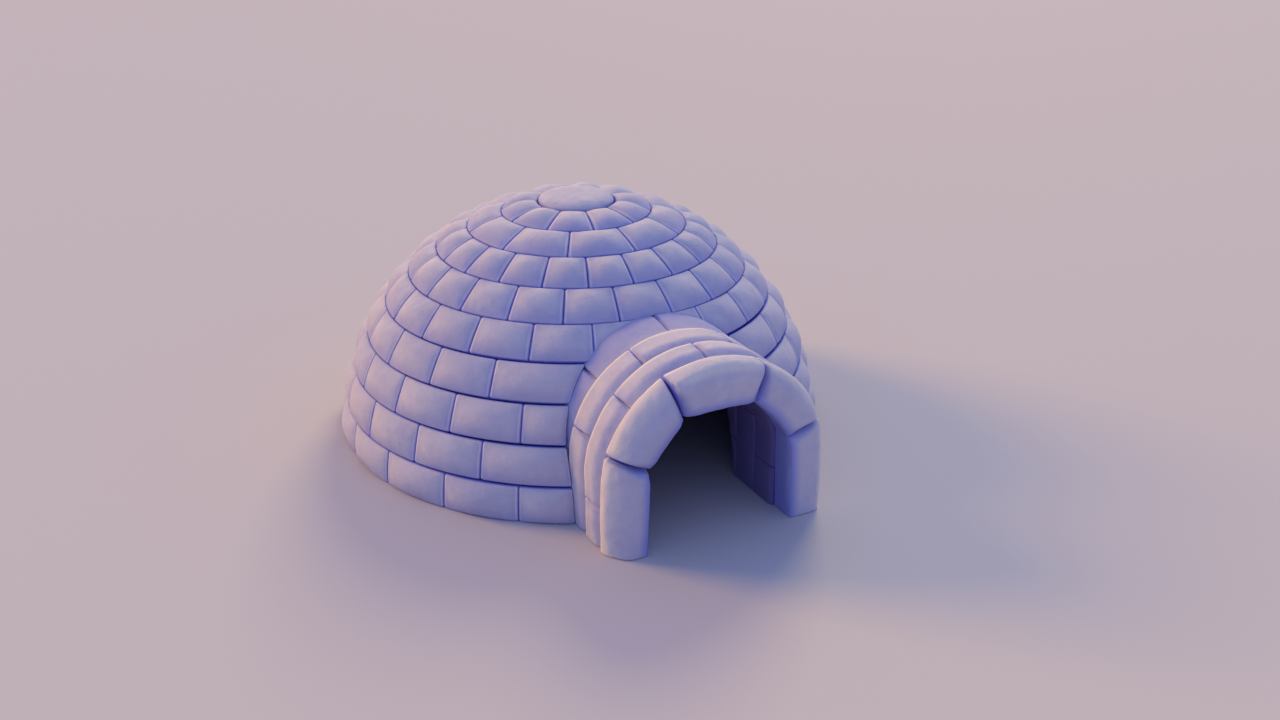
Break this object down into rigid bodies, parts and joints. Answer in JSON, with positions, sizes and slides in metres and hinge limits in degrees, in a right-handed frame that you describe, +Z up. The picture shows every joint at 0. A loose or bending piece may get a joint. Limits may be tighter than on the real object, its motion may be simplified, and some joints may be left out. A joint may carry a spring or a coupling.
{
  "type": "igloo",
  "caption": "Hollow dome of snow blocks in level courses, closed by a king block, with an arched entrance tunnel cut through the wall.",
  "frame": {"origin": "on the ground at the middle of the footprint; the dome's axis stands 195 mm behind it", "axes": "+Z up, the tunnel's mouth faces -Y, +X to the right of someone looking into the tunnel"},
  "size_m": [3.9863, 4.3846, 1.9],
  "materials": {
    "snow": "wind-packed snow, matt"
  },
  "bodies": {
    "root": {"dome_course_1": "snow", "dome_course_2": "snow", "dome_course_3": "snow", "dome_course_4": "snow", "dome_course_5": "snow", "dome_course_6": "snow", "dome_course_7": "snow", "dome_course_8": "snow", "dome_course_9": "snow", "front_arch_crown": "snow", "front_arch_left_post": "snow", "front_arch_left_shoulder": "snow", "front_arch_right_post": "snow", "front_arch_right_shoulder": "snow", "inner_arch_left_foot": "snow", "inner_arch_left_haunch": "snow", "inner_arch_left_roof": "snow", "inner_arch_right_foot": "snow", "inner_arch_right_haunch": "snow", "inner_arch_right_roof": "snow", "king_block": "snow", "second_arch_left_foot": "snow", "second_arch_left_haunch": "snow", "second_arch_left_roof": "snow", "second_arch_right_foot": "snow", "second_arch_right_haunch": "snow", "second_arch_right_roof": "snow", "third_arch_crown": "snow", "third_arch_left_post": "snow", "third_arch_left_shoulder": "snow", "third_arch_right_post": "snow", "third_arch_right_shoulder": "snow"}
  },
  "joints": []
}
